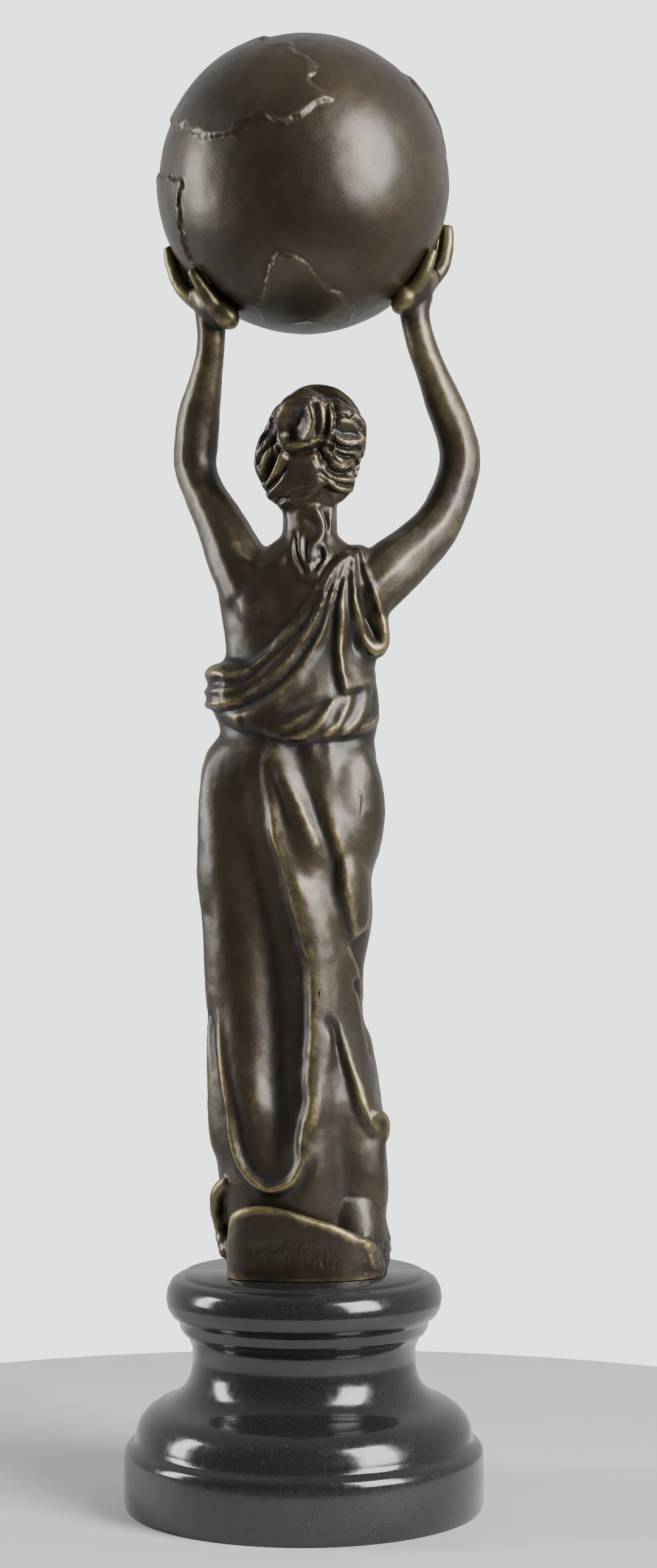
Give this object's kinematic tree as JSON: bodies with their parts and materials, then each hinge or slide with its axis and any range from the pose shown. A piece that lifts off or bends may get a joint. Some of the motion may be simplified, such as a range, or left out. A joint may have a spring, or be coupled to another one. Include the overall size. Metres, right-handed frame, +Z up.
{
  "type": "bronze female atlas statue",
  "caption": "Table bronze of a draped classical woman who lifts a globe overhead with both hands, seen best from behind, standing on a turned polished marble plinth.",
  "frame": {"origin": "centre of the plinth's underside", "axes": "+Z up; the figure faces -Y, so her back is to +Y and her left hand to +X"},
  "size_m": [0.142, 0.142, 0.5833],
  "materials": {
    "bronze": "dark brown bronze patina, rubbed to olive gold on ridges and edges, satin gloss",
    "marble": "polished dark marble with a fine speckle"
  },
  "bodies": {
    "root": {"bronze_atlas_figure": "bronze", "marble_plinth": "marble"}
  },
  "joints": []
}
